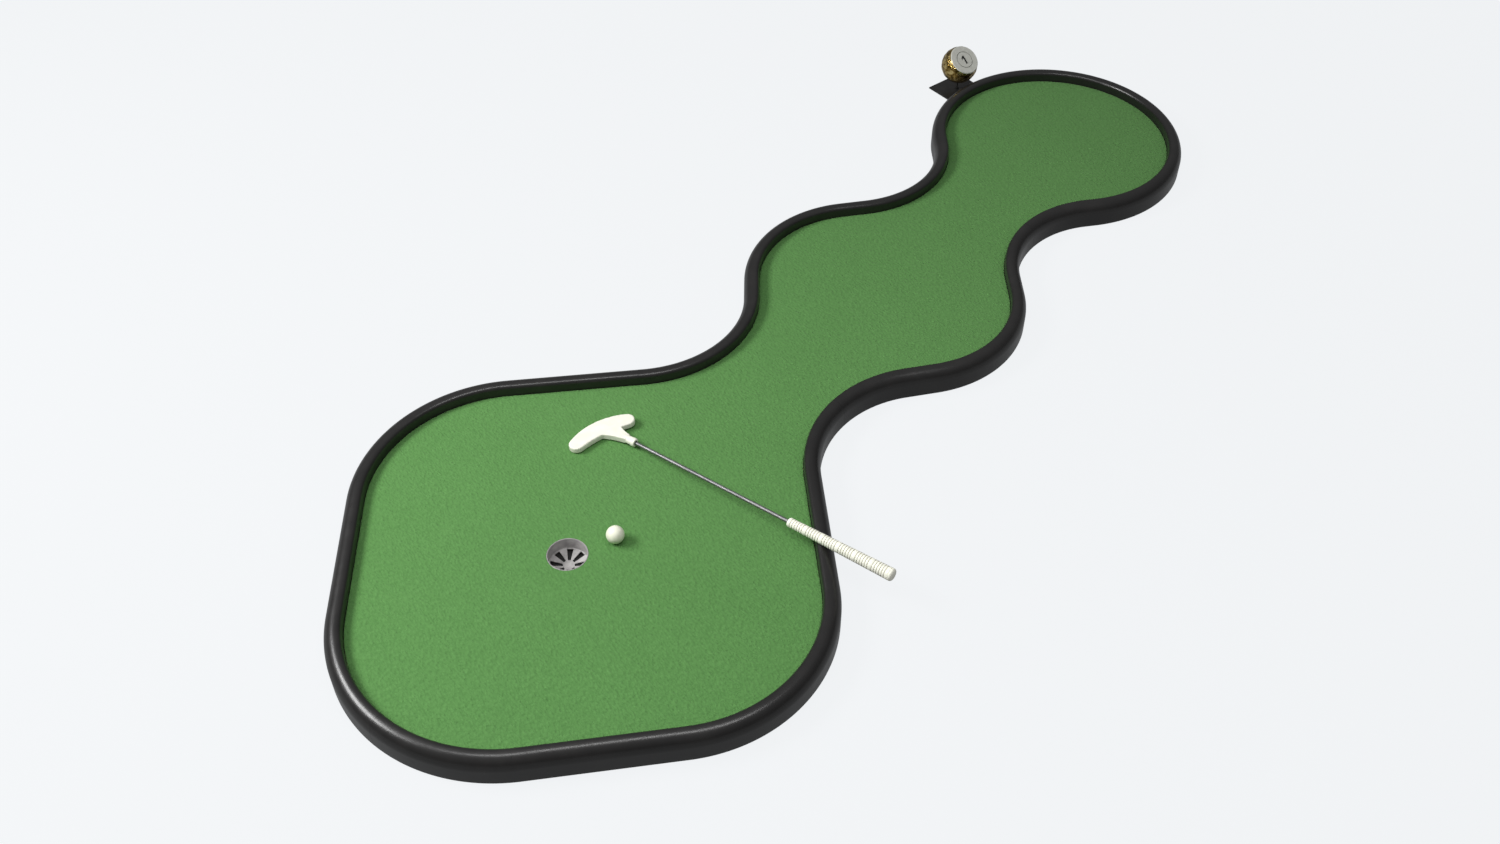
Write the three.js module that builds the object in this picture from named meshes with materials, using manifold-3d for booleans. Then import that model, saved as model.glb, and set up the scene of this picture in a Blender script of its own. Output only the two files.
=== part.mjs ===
// Practice putting mat: a kerbed turf lane in three panels, with its cup, ball, putter and hole marker.
// Millimetres, +Z up. The origin is on the floor under the middle of the lane. +X runs along the lane
// from the hole end to the tee end.
import * as THREE from "three";
import { mergeVertices } from "three/addons/utils/BufferGeometryUtils.js";
import Module from "manifold-3d";

const wasm = await Module();
wasm.setup();

// ---------------------------------------------------------------- driving dimensions

const GAP = 0.3; // running gap between two pieces that touch
const OVERCUT = 1; // how far a cutting tool runs past the piece it cuts

// The kerb's centre line is a belt round these discs, from the hole end to the tee end, mirrored in y = 0.
// side is 1 where the belt passes outside a disc and -1 where it dips round a neck.
const LANE_DISCS = [
  { x: -1139, y: 0, r: 384, side: 1 },
  { x: -905, y: 249, r: 359, side: 1 },
  { x: -193, y: 497, r: 314, side: -1 },
  { x: 262, y: 58, r: 313, side: 1 },
  { x: 717, y: 480, r: 303, side: -1 },
  { x: 1168, y: 0, r: 355, side: 1 },
];
const SEAM_DISCS = [2, 4]; // the panels meet at the middle of these necks
const STEP = 56; // longest straight stretch along the kerb

const KERB = { width: 41, height: 72, outerWide: 28, outerHigh: 32, innerRound: 12, grooveDeep: 12.5 };
const TURF = { top: 41, thick: 6, inset: 0.5 };
const DECK = { thick: 18, tongue: 12 };
const DOWEL = { r: 5, length: 60, z: 48, clearance: 0.3 };

const CUP = {
  x: -949, y: 18, r: 45.5, wall: 2, rim: 41.4, shoulder: 9.5, hub: 12.5, hubTop: 3.4, underside: 1.2,
  slots: 8, slotPhase: 39, slotIn: 13.5, slotOut: 43, slotInWide: 6.5, slotOutWide: 15.5,
  flangeR: 63, flangeThick: 3, screwCircle: 56, sides: 32, rimEase: 0.6, deckClearance: 1,
  linerR: 62, linerThick: 0.6, // the black pad stuck under the slots
};
const FOOT = { r: 28, ease: 2, studR: 6, studHigh: 11 };
const SCREW = { headR: 5, headHigh: 2.8, headEase: 1, shankR: 2.3, length: 13.5, tip: 2, holeR: 2.6 };
const JOINT_PLATE = { long: 170, wide: 150, thick: 3, screwX: 50, screwY: 50 };

const BALL = { x: -850.5, y: -40, r: 21.335 };

const PUTTER = {
  x: -605.6, y: 205.3, yaw: -87.7, lie: 71.5, heelOffset: 21.3,
  bladeHalf: 71, bladeEnd: 19.5, soleBulge: 19, topBulge: 8, thick: 17, bevel: 3,
  neckFrom: 14, neckEnd: 83.5, neckR: 11, neckRootR: 7.5, socketR: 6.2, socketDeep: 4,
  shaftR: 4.7, shaftFrom: 36, shaftTo: 800,
  gripFrom: 539, gripTo: 812, gripFromR: 11, gripToR: 15.2, gripEase: 2, capTo: 821, capEase: 2,
  headRise: 2.4, // the head's middle stands this much higher than it would lying flat
  crownAt: 642, // how far along the shaft the grip crosses the kerb's crown
};

// The flare that joins the blade to the neck: its two feet on the blade, the bends and its end.
const ROOT = {
  heelX: -6, heelY: -34, toeX: 2, toeY: 36, bendX: 22, heelBendY: -16, toeBendY: 12, endX: 58, endY: 9.5,
};

const MARKER = {
  x: 1276.6, y: 425.4, yaw: -12.6, plateX: 134, plateY: 120, plateThick: 4,
  stemR: 2.5, nutR: 6, nutHigh: 4, ballR: 58, ballZ: 90, stemInBall: 13,
  faceTilt: 35, faceAt: 34.5, faceThick: 2.5, faceRingR: 27.3, faceRingHalf: 0.6, faceRingDeep: 0.7,
  digitHigh: 28, digitWide: 5, digitThick: 0.8,
};

const deckTop = TURF.top - TURF.thick - GAP;
const deckBottom = deckTop - DECK.thick;
const underDeck = deckBottom - GAP; // where the pieces screwed under the deck have their top

// ---------------------------------------------------------------- materials

function material(color, roughness, metalness = 0) {
  return new THREE.MeshStandardMaterial({ color, roughness, metalness });
}

const kerbRubber = () => material(0x2c2c2c, 0.45);
const turfGreen = () => material(0x5f9a55, 0.95);
const plywood = () => material(0xb58b5a, 0.8);
const footRubber = () => material(0x1c1c1c, 0.8);
const zincSteel = () => material(0xb4b6b8, 0.35, 1);
const cupPlastic = () => material(0x9a9797, 0.5);
const ivoryPlastic = () => material(0xf1efe2, 0.4);
const chrome = () => material(0xa9a9a9, 0.2, 1);
const blackPaint = () => material(0x1f1f1f, 0.4, 0.3);
const gold = () => material(0xc79a3c, 0.25, 1);
const greyPlastic = () => material(0xb9b8b2, 0.45);
const blackPad = () => material(0x0a0a0a, 0.9);

// ---------------------------------------------------------------- helpers

const degrees = THREE.MathUtils.degToRad;

// A geometry as a manifold solid, with only its positions kept.
function solid(geometry) {
  const bare = new THREE.BufferGeometry();
  const flat = geometry.index ? geometry.toNonIndexed() : geometry;
  bare.setAttribute("position", flat.getAttribute("position"));
  const merged = mergeVertices(bare, 1e-3);
  return new wasm.Manifold(
    new wasm.Mesh({
      numProp: 3,
      vertProperties: merged.attributes.position.array,
      triVerts: new Uint32Array(merged.index.array),
    }),
  );
}

function geometryOf(made) {
  const mesh = made.getMesh();
  const geometry = new THREE.BufferGeometry();
  geometry.setAttribute("position", new THREE.BufferAttribute(mesh.vertProperties, 3));
  geometry.setIndex(new THREE.BufferAttribute(mesh.triVerts, 1));
  geometry.computeVertexNormals();
  return geometry;
}

function cut(geometry, tools) {
  return geometryOf(tools.reduce((made, tool) => made.subtract(solid(tool)), solid(geometry)));
}

function join(geometries) {
  return geometryOf(geometries.map(solid).reduce((made, next) => made.add(next)));
}

function mesh(name, geometry, look, parent) {
  const made = new THREE.Mesh(geometry, look);
  made.name = name;
  parent.add(made);
  return made;
}

// A turned piece about +Z from [radius, height] points.
function turned(profile, segments) {
  const points = profile.map(([r, z]) => new THREE.Vector2(r, z));
  return new THREE.LatheGeometry(points, segments).rotateX(Math.PI / 2);
}

// A rod about +Z from z = from to z = to.
function rod(r, from, to, segments = 20) {
  const geometry = new THREE.CylinderGeometry(r, r, to - from, segments).rotateX(Math.PI / 2);
  return geometry.translate(0, 0, (from + to) / 2);
}

// A round hole as a polygon whose flats clear the radius r.
function roundHole(x, y, r, sides = 12) {
  const corner = r / Math.cos(Math.PI / sides);
  const angles = Array.from({ length: sides }, (_, i) => (-2 * Math.PI * i) / sides);
  return new THREE.Path(
    angles.map((a) => new THREE.Vector2(x + corner * Math.cos(a), y + corner * Math.sin(a))),
  );
}

// A flat piece with its underside at z.
function slab(shape, z, thick) {
  return new THREE.ExtrudeGeometry(shape, { depth: thick, bevelEnabled: false }).translate(0, 0, z);
}

// ---------------------------------------------------------------- lane outline

// The belt's outward normal on the straight run between two discs.
function runNormal(a, b) {
  const dx = b.x - a.x;
  const dy = b.y - a.y;
  const turn = Math.acos((a.side * a.r - b.side * b.r) / Math.hypot(dx, dy));
  return Math.atan2(dy, dx) + turn;
}

// The half outline as arcs and straight runs, each with its length.
function beltPieces(discs) {
  const normals = [Math.PI];
  for (let i = 0; i + 1 < discs.length; i++) normals.push(runNormal(discs[i], discs[i + 1]));
  normals.push(0);
  const pieces = [];
  discs.forEach((disc, i) => {
    const [from, to] = [normals[i], normals[i + 1]];
    pieces.push({ disc, from, to, length: Math.abs(to - from) * disc.r });
    if (i + 1 === discs.length) return;
    const start = onDisc(disc, to, 0);
    const end = onDisc(discs[i + 1], to, 0);
    pieces.push({ start, end, normal: to, length: start.distanceTo(end) });
  });
  return pieces;
}

function onDisc(disc, normal, offset) {
  const reach = disc.side * disc.r + offset;
  return new THREE.Vector2(disc.x + reach * Math.cos(normal), disc.y + reach * Math.sin(normal));
}

const belt = beltPieces(LANE_DISCS);
const beltLength = belt.reduce((sum, piece) => sum + piece.length, 0);

// The point that lies offset mm outside the centre line, s mm along it, and the outward normal's angle.
function edgeAt(s, offset) {
  let left = THREE.MathUtils.clamp(s, 0, beltLength);
  const piece = belt.find((each) => {
    if (left <= each.length) return true;
    left -= each.length;
    return false;
  }) ?? belt[belt.length - 1];
  const t = Math.min(left / piece.length, 1);
  if (piece.disc) {
    const normal = piece.from + (piece.to - piece.from) * t;
    return { point: onDisc(piece.disc, normal, offset), normal };
  }
  const shift = new THREE.Vector2(Math.cos(piece.normal), Math.sin(piece.normal)).multiplyScalar(offset);
  return { point: piece.start.clone().lerp(piece.end, t).add(shift), normal: piece.normal };
}

// How far along the belt the middle of a neck is, where the normal is +Y.
function neckAt(index) {
  let s = 0;
  for (const piece of belt) {
    if (piece.disc === LANE_DISCS[index]) {
      return s + Math.abs(Math.PI / 2 - piece.from) * piece.disc.r;
    }
    s += piece.length;
  }
}

const seams = [0, ...SEAM_DISCS.map(neckAt), beltLength];
const PANELS = ["hole_end", "middle", "tee_end"];

// One panel's stretch of the belt, with half a gap left at each end.
function stretch(index) {
  const from = seams[index] + GAP / 2;
  const to = seams[index + 1] - GAP / 2;
  return { from, to, steps: Math.round((to - from) / STEP) };
}

function stations({ from, to, steps }) {
  return Array.from({ length: steps + 1 }, (_, i) => from + ((to - from) * i) / steps);
}

// A closed outline over some stations, anticlockwise, mirrored in y = 0.
function outlineShape(allStations, offset) {
  const upper = allStations.map((s) => edgeAt(s, offset).point);
  const lower = upper.map((p) => new THREE.Vector2(p.x, -p.y));
  return new THREE.Shape([...lower, ...upper.reverse()]);
}

// A stretch of the centre line as a curve in space.
class KerbLine extends THREE.Curve {
  constructor(run) {
    super();
    this.run = run;
  }
  along(u) {
    return this.run.from + (this.run.to - this.run.from) * u;
  }
  getPointAt(u) {
    const { point } = edgeAt(this.along(u), 0);
    return new THREE.Vector3(point.x, point.y, 0);
  }
  getTangentAt(u) {
    const { normal } = edgeAt(this.along(u), 0);
    return new THREE.Vector3(Math.sin(normal), -Math.cos(normal), 0);
  }
}

// ---------------------------------------------------------------- kerb

// The kerb's section. An extruded path carries the shape's x downwards and its y outwards.
function kerbSection() {
  const half = KERB.width / 2;
  const outer = half - KERB.outerWide;
  const inner = -half + KERB.innerRound;
  const groove = -half + KERB.grooveDeep;
  const points = [[half, 0]];
  for (let i = 0; i <= 4; i++) {
    const a = (Math.PI / 2) * (i / 4);
    const z = KERB.height - KERB.outerHigh * (1 - Math.sin(a));
    points.push([outer + KERB.outerWide * Math.cos(a), z]);
  }
  for (let i = 0; i <= 3; i++) {
    const a = (Math.PI / 2) * (i / 3);
    points.push([inner - KERB.innerRound * Math.sin(a), KERB.height - KERB.innerRound * (1 - Math.cos(a))]);
  }
  points.push([-half, deckTop + GAP], [groove, deckTop + GAP]);
  points.push([groove, deckBottom - GAP], [-half, deckBottom - GAP], [-half, 0]);
  return new THREE.Shape(points.map(([out, z]) => new THREE.Vector2(-z, out)));
}

// A dowel, or the drilling for one, on the seam at the belt's station s.
function dowelAt(s, grow) {
  const { point, normal } = edgeAt(s, 0);
  const half = DOWEL.length / 2 + grow;
  const geometry = rod(DOWEL.r + grow, -half, half, 16).rotateY(Math.PI / 2);
  return geometry.rotateZ(normal - Math.PI / 2).translate(point.x, point.y, DOWEL.z);
}

function kerbLength(index) {
  const run = stretch(index);
  const bar = new THREE.ExtrudeGeometry(kerbSection(), { steps: run.steps, extrudePath: new KerbLine(run) });
  const drillings = [seams[index], seams[index + 1]].map((s) => dowelAt(s, DOWEL.clearance));
  return cut(bar, drillings);
}

function addKerb(parent) {
  PANELS.forEach((panel, i) => {
    const geometry = kerbLength(i);
    mesh(`kerb_${panel}_left`, geometry, kerbRubber(), parent);
    mesh(`kerb_${panel}_right`, geometry, kerbRubber(), parent).scale.y = -1;
  });
  seams.forEach((s, i) => {
    const middle = i > 0 && i + 1 < seams.length;
    if (!middle) {
      mesh(`kerb_dowel_${i + 1}`, dowelAt(s, 0), zincSteel(), parent);
      return;
    }
    mesh(`kerb_dowel_${i + 1}_left`, dowelAt(s, 0), zincSteel(), parent);
    mesh(`kerb_dowel_${i + 1}_right`, dowelAt(s, 0), zincSteel(), parent).scale.y = -1;
  });
}

// ---------------------------------------------------------------- deck, feet and turf

const seamX = SEAM_DISCS.map((i) => LANE_DISCS[i].x);
const FEET = [
  [[-1290, 0], [-930, 300], [-930, -300], [-560, 90], [-560, -90]],
  [[20, 0], [262, 180], [262, -180], [500, 0]],
  [[930, 0], [1190, 170], [1190, -170], [1400, 0]],
];

function cornersOf(x, y, dx, dy) {
  return [[x - dx, y - dy], [x + dx, y - dy], [x + dx, y + dy], [x - dx, y + dy]];
}

function plateScrews(x) {
  return cornersOf(x, 0, JOINT_PLATE.screwX, JOINT_PLATE.screwY);
}

function cupScrews() {
  const reach = CUP.screwCircle * Math.SQRT1_2;
  return cornersOf(CUP.x, CUP.y, reach, reach);
}

function addDeck(parent) {
  const offset = -KERB.width / 2 + DECK.tongue;
  PANELS.forEach((panel, i) => {
    const shape = outlineShape(stations(stretch(i)), offset);
    const screws = [...seamX.flatMap(plateScrews), ...(i === 0 ? cupScrews() : [])];
    const mine = screws.filter(([x]) => (i === 0 || x > seamX[i - 1]) && (i === 2 || x < seamX[i]));
    mine.forEach(([x, y]) => shape.holes.push(roundHole(x, y, SCREW.holeR)));
    FEET[i].forEach(([x, y]) => shape.holes.push(roundHole(x, y, FOOT.studR + GAP)));
    if (i === 0) shape.holes.push(roundHole(CUP.x, CUP.y, CUP.r + CUP.wall + CUP.deckClearance, CUP.sides));
    mesh(`deck_panel_${panel}`, slab(shape, deckBottom, DECK.thick), plywood(), parent);
  });
}

function addFeet(parent) {
  const { r, ease, studR } = FOOT;
  const studTop = underDeck + FOOT.studHigh;
  const profile = [[0, 0], [r - ease, 0], [r, ease], [r, underDeck], [studR, underDeck]];
  profile.push([studR, studTop], [0, studTop]);
  FEET.flat().forEach(([x, y], i) => {
    const foot = mesh(`foot_${i + 1}`, turned(profile, 12), footRubber(), parent);
    foot.position.set(x, y, 0);
  });
}

function screwGeometry() {
  const { headR, headHigh, headEase, shankR, length, tip } = SCREW;
  const profile = [[0, 0], [headR - headEase, 0], [headR, headEase], [headR, headHigh], [shankR, headHigh]];
  profile.push([shankR, headHigh + length - tip], [0, headHigh + length]);
  return turned(profile, 8);
}

function addScrews(parent, name, places, seatZ) {
  places.forEach(([x, y], i) => {
    const screw = mesh(`${name}_${i + 1}`, screwGeometry(), zincSteel(), parent);
    screw.position.set(x, y, seatZ - GAP - SCREW.headHigh);
  });
}

function addJointPlates(parent) {
  const z = underDeck - JOINT_PLATE.thick;
  seamX.forEach((x, i) => {
    const shape = new THREE.Shape(
      cornersOf(x, 0, JOINT_PLATE.long / 2, JOINT_PLATE.wide / 2).map((at) => new THREE.Vector2(...at)),
    );
    plateScrews(x).forEach(([px, py]) => shape.holes.push(roundHole(px, py, SCREW.holeR)));
    mesh(`joint_plate_${i + 1}`, slab(shape, z, JOINT_PLATE.thick), zincSteel(), parent);
    addScrews(parent, `joint_plate_${i + 1}_screw`, plateScrews(x), z);
  });
}

function addTurf(parent) {
  const all = PANELS.flatMap((_, i) => stations(stretch(i)));
  const shape = outlineShape(all, -KERB.width / 2 - TURF.inset);
  shape.holes.push(roundHole(CUP.x, CUP.y, CUP.r + CUP.wall + TURF.inset, CUP.sides));
  mesh("turf", slab(shape, TURF.top - TURF.thick, TURF.thick), turfGreen(), parent);
}

// ---------------------------------------------------------------- cup

function slotCutter(index) {
  const wide = [CUP.slotInWide / 2, CUP.slotOutWide / 2];
  const shape = new THREE.Shape([
    new THREE.Vector2(CUP.slotIn, -wide[0]),
    new THREE.Vector2(CUP.slotOut, -wide[1]),
    new THREE.Vector2(CUP.slotOut, wide[1]),
    new THREE.Vector2(CUP.slotIn, wide[0]),
  ]);
  const turn = degrees(CUP.slotPhase + (360 / CUP.slots) * index);
  return slab(shape, -OVERCUT, CUP.shoulder + 2 * OVERCUT).rotateZ(turn);
}

function cupBody() {
  const { r, rim, rimEase, flangeR, hub, hubTop, underside, shoulder, wall } = CUP;
  const outer = r + wall;
  const flangeUnder = underDeck - CUP.flangeThick;
  return turned([
    [0, underside], [hub, underside], [outer, shoulder - wall], [outer, flangeUnder],
    [flangeR, flangeUnder], [flangeR, underDeck], [outer, underDeck], [outer, rim - rimEase],
    [outer - rimEase, rim], [r + rimEase, rim], [r, rim - rimEase], [r, shoulder],
    [hub, hubTop], [0, hubTop],
  ], CUP.sides);
}

function addCup(parent) {
  const slots = Array.from({ length: CUP.slots }, (_, i) => slotCutter(i));
  const reach = [underDeck - CUP.flangeThick - OVERCUT, underDeck + OVERCUT];
  const drillings = cupScrews().map(([x, y]) => {
    return rod(SCREW.holeR, ...reach, 12).translate(x - CUP.x, y - CUP.y, 0);
  });
  const cup = mesh("cup", cut(cupBody(), [...slots, ...drillings]), cupPlastic(), parent);
  cup.position.set(CUP.x, CUP.y, 0);
  addScrews(parent, "cup_screw", cupScrews(), underDeck - CUP.flangeThick);
  const linerTop = CUP.underside - GAP;
  const disc = rod(CUP.linerR, linerTop - CUP.linerThick, linerTop, CUP.sides);
  const liner = mesh("cup_liner", disc, blackPad(), parent);
  liner.position.set(CUP.x, CUP.y, 0);
}

function addBall(parent) {
  const ball = mesh("ball", new THREE.IcosahedronGeometry(BALL.r, 3), ivoryPlastic(), parent);
  ball.position.set(BALL.x, BALL.y, TURF.top + GAP + BALL.r);
}

// ---------------------------------------------------------------- putter

// The putter lies with its shaft along its own +X and the flat of its two-way blade on the turf.

// The blade's outline, heel to toe along x and sole towards +y: two round ends and two bowed sides.
function bladeShape() {
  const { bladeHalf, bladeEnd, soleBulge, topBulge } = PUTTER;
  const soleY = (soleBulge ** 2 - bladeHalf ** 2) / (2 * soleBulge);
  const soleR = soleBulge - soleY + bladeEnd;
  const topY = (topBulge ** 2 - bladeHalf ** 2) / (2 * topBulge);
  const topR = topBulge - topY - bladeEnd;
  const soleEdge = Math.atan2(-soleY, bladeHalf);
  const topEdge = Math.atan2(-topY, bladeHalf);
  const shape = new THREE.Shape();
  shape.absarc(0, soleY, soleR, soleEdge, Math.PI - soleEdge, false);
  shape.absarc(-bladeHalf, 0, bladeEnd, Math.PI - soleEdge, 2 * Math.PI - topEdge, false);
  shape.absarc(0, topY, topR, Math.PI - topEdge, topEdge, true);
  shape.absarc(bladeHalf, 0, bladeEnd, Math.PI + topEdge, 2 * Math.PI + soleEdge, false);
  return shape;
}

// The flat root that flares from the blade into the neck, along +X.
function neckRootShape() {
  const shape = new THREE.Shape();
  shape.moveTo(ROOT.heelX, ROOT.heelY);
  shape.quadraticCurveTo(ROOT.bendX, ROOT.heelBendY, ROOT.endX, -ROOT.endY);
  shape.lineTo(ROOT.endX, ROOT.endY);
  shape.quadraticCurveTo(ROOT.bendX, ROOT.toeBendY, ROOT.toeX, ROOT.toeY);
  shape.closePath();
  return shape;
}

function rounded(shape, thick, bevel, curveSegments) {
  const options = { depth: thick - 2 * bevel, bevelThickness: bevel, bevelSize: bevel, bevelOffset: -bevel };
  const geometry = new THREE.ExtrudeGeometry(shape, { ...options, bevelSegments: 1, curveSegments });
  return geometry.translate(0, 0, bevel - thick / 2);
}

function putterHead() {
  const { thick, bevel, lie, heelOffset, neckFrom, neckEnd, neckR, neckRootR } = PUTTER;
  const { shaftR, shaftFrom, socketR, socketDeep } = PUTTER;
  const blade = rounded(bladeShape(), thick, bevel, 10);
  blade.translate(-heelOffset, 0, 0).rotateZ(degrees(lie));
  const root = rounded(neckRootShape(), thick, bevel, 6);
  const neck = new THREE.CylinderGeometry(neckR, neckRootR, neckEnd - neckFrom, 20);
  neck.rotateZ(-Math.PI / 2).translate((neckEnd + neckFrom) / 2, 0, 0);
  const bore = rod(shaftR + GAP, shaftFrom - OVERCUT, neckEnd + OVERCUT, 16).rotateY(Math.PI / 2);
  const socket = rod(socketR, neckEnd - socketDeep, neckEnd + OVERCUT, 20).rotateY(Math.PI / 2);
  return cut(join([blade, root, neck]), [bore, socket]);
}

// A turned piece about +X from [distance, radius] points.
function turnedAlongX(profile, segments) {
  const points = profile.map(([x, r]) => new THREE.Vector2(r, x));
  return new THREE.LatheGeometry(points, segments).rotateZ(-Math.PI / 2);
}

function putterGrip() {
  const { gripFrom, gripTo, gripFromR, gripToR, gripEase, shaftR } = PUTTER;
  const bore = shaftR + GAP;
  const profile = [[gripFrom, bore], [gripFrom, gripFromR - gripEase], [gripFrom + gripEase, gripFromR]];
  profile.push([gripTo, gripToR], [gripTo, bore], [gripFrom, bore]);
  return turnedAlongX(profile, 18);
}

function gripCap() {
  const { gripTo, gripToR, capTo, capEase, shaftR, shaftTo } = PUTTER;
  const from = gripTo + GAP;
  const inside = shaftTo + capEase;
  const dome = from + capEase;
  const profile = [[inside, 0], [inside, shaftR], [from, shaftR], [from, gripToR]];
  for (let i = 0; i <= 3; i++) {
    const a = (Math.PI / 2) * (i / 3);
    profile.push([dome + (capTo - dome) * Math.sin(a), gripToR * Math.sqrt(Math.cos(a))]);
  }
  return turnedAlongX(profile, 18);
}

function addPutter(parent) {
  const { thick, shaftR, shaftFrom, shaftTo, headRise, crownAt } = PUTTER;
  const { gripFrom, gripTo, gripFromR, gripToR } = PUTTER;
  // The shaft climbs from the turf to the crown of the kerb that the grip lies across.
  const gripThere = gripFromR + ((gripToR - gripFromR) * (crownAt - gripFrom)) / (gripTo - gripFrom);
  const headZ = TURF.top + GAP + thick / 2 + headRise;
  const climb = Math.asin((KERB.height + 2 * GAP + gripThere - headZ) / crownAt);
  const putter = new THREE.Group();
  putter.position.set(PUTTER.x, PUTTER.y, headZ);
  putter.rotation.set(0, -climb, degrees(PUTTER.yaw), "ZYX");
  parent.add(putter);
  mesh("putter_head", putterHead(), ivoryPlastic(), putter);
  mesh("putter_shaft", rod(shaftR, shaftFrom, shaftTo, 16).rotateY(Math.PI / 2), chrome(), putter);
  mesh("putter_grip", putterGrip(), ivoryPlastic(), putter);
  mesh("putter_grip_cap", gripCap(), ivoryPlastic(), putter);
}

// ---------------------------------------------------------------- hole marker

function markerBall() {
  const { ballR, faceAt, faceThick, faceTilt, ballZ, stemR, stemInBall } = MARKER;
  const flatAt = faceAt - faceThick - GAP;
  const last = Math.asin(flatAt / ballR);
  const profile = [];
  for (let i = 0; i <= 10; i++) {
    const a = -Math.PI / 2 + ((last + Math.PI / 2) * i) / 10;
    profile.push([i === 0 ? 0 : ballR * Math.cos(a), ballR * Math.sin(a)]);
  }
  profile.push([0, flatAt]);
  const ball = turned(profile, 28).rotateX(degrees(faceTilt)).translate(0, 0, ballZ);
  const under = ballZ - ballR;
  return cut(ball, [rod(stemR + GAP, under - OVERCUT, under + stemInBall + GAP, 16)]);
}

function markerFace() {
  const { ballR, faceAt, faceThick, faceRingR, faceRingHalf, faceRingDeep } = MARKER;
  const low = faceAt - faceThick;
  const rimAt = (z) => [Math.sqrt(ballR ** 2 - z ** 2), z];
  const profile = [[0, low], rimAt(low), rimAt(faceAt)];
  profile.push([faceRingR + faceRingHalf, faceAt], [faceRingR, faceAt - faceRingDeep]);
  profile.push([faceRingR - faceRingHalf, faceAt], [0, faceAt]);
  return turned(profile, 28);
}

function markerDigit() {
  const { digitHigh, digitWide, digitThick, faceAt } = MARKER;
  const top = digitHigh / 2;
  const half = digitWide / 2;
  const flag = 2 * digitWide;
  const outline = [[-half, -top], [half, -top], [half, top], [-half, top], [-flag, top - flag + half]];
  outline.push([-flag, top - flag - half], [-half, top - digitWide]);
  const shape = new THREE.Shape(outline.map(([x, y]) => new THREE.Vector2(x, y)));
  return slab(shape, faceAt + GAP / 2, digitThick);
}

function addMarker(parent) {
  const { plateX, plateY, plateThick, stemR, nutR, nutHigh, ballR, ballZ, stemInBall } = MARKER;
  const marker = new THREE.Group();
  marker.position.set(MARKER.x, MARKER.y, 0);
  marker.rotation.z = degrees(MARKER.yaw);
  parent.add(marker);

  const plate = new THREE.Shape(
    cornersOf(0, 0, plateX / 2, plateY / 2).map(([x, y]) => new THREE.Vector2(x, y)),
  );
  plate.holes.push(roundHole(0, 0, stemR + GAP));
  mesh("marker_base_plate", slab(plate, 0, plateThick), blackPaint(), marker);

  const hexagon = Array.from({ length: 6 }, (_, i) => degrees(60 * i));
  const nut = new THREE.Shape(hexagon.map((a) => new THREE.Vector2(nutR * Math.cos(a), nutR * Math.sin(a))));
  nut.holes.push(roundHole(0, 0, stemR + GAP));
  mesh("marker_stem_nut", slab(nut, plateThick + GAP, nutHigh), blackPaint(), marker);

  mesh("marker_stem", rod(stemR, 1, ballZ - ballR + stemInBall, 16), blackPaint(), marker);
  mesh("marker_ball", markerBall(), gold(), marker);

  const face = new THREE.Group();
  face.position.z = ballZ;
  face.rotation.x = degrees(MARKER.faceTilt);
  marker.add(face);
  mesh("marker_face", markerFace(), greyPlastic(), face);
  mesh("marker_digit_1", markerDigit(), blackPaint(), face);
}

// ---------------------------------------------------------------- the whole set

const group = new THREE.Group();
addDeck(group);
addFeet(group);
addJointPlates(group);
addTurf(group);
addKerb(group);
addCup(group);
addBall(group);
addPutter(group);
addMarker(group);

export default group;
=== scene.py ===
"""Practice putting mat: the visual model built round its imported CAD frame.

Lengths are in millimetres until a mesh is made, and in metres after that. +Z is up and +X runs from
the hole end to the tee end.
"""

import math
import random

import bmesh
import bpy
from mathutils import Matrix, Vector, noise
from mathutils.geometry import tessellate_polygon


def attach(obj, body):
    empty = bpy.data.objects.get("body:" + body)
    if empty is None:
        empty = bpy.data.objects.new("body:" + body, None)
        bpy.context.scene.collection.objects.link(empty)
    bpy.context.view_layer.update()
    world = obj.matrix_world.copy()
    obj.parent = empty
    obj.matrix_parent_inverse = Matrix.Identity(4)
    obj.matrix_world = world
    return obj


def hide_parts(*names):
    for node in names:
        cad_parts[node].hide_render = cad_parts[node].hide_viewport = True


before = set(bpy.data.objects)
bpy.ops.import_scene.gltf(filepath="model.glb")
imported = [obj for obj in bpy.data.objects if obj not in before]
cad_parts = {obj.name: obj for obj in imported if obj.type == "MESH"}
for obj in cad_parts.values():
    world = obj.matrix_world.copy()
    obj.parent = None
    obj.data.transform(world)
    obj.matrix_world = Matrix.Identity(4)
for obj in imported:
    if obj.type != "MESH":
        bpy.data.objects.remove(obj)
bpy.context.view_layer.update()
MM = 0.001
TINY = 1e-6

# ---------------------------------------------------------------- dimensions, as in the CAD

GAP = 0.3
LANE_DISCS = [  # x, y, radius, and 1 where the outline bulges round the disc or -1 where it waists
    (-1139, 0, 384, 1),
    (-905, 249, 359, 1),
    (-193, 497, 314, -1),
    (262, 58, 313, 1),
    (717, 480, 303, -1),
    (1168, 0, 355, 1),
]
SEAM_DISCS = (2, 4)  # the seams cross the lane at the middles of these two
PANELS = ("hole_end", "middle", "tee_end")
KERB_HALF = 20.5
KERB_TOP = 72
TURF_TOP = 41
TURF_UNDER = 35
CUP_X, CUP_Y = -949, 18
CUP_R, CUP_OUTER_R = 45.5, 47.5
BALL_R = 21.335
SHAFT_R = 4.7
MARKER_R = 58
MARKER_Z = 90


# ---------------------------------------------------------------- meshes

SHARP_EDGE = math.radians(50)


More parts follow.
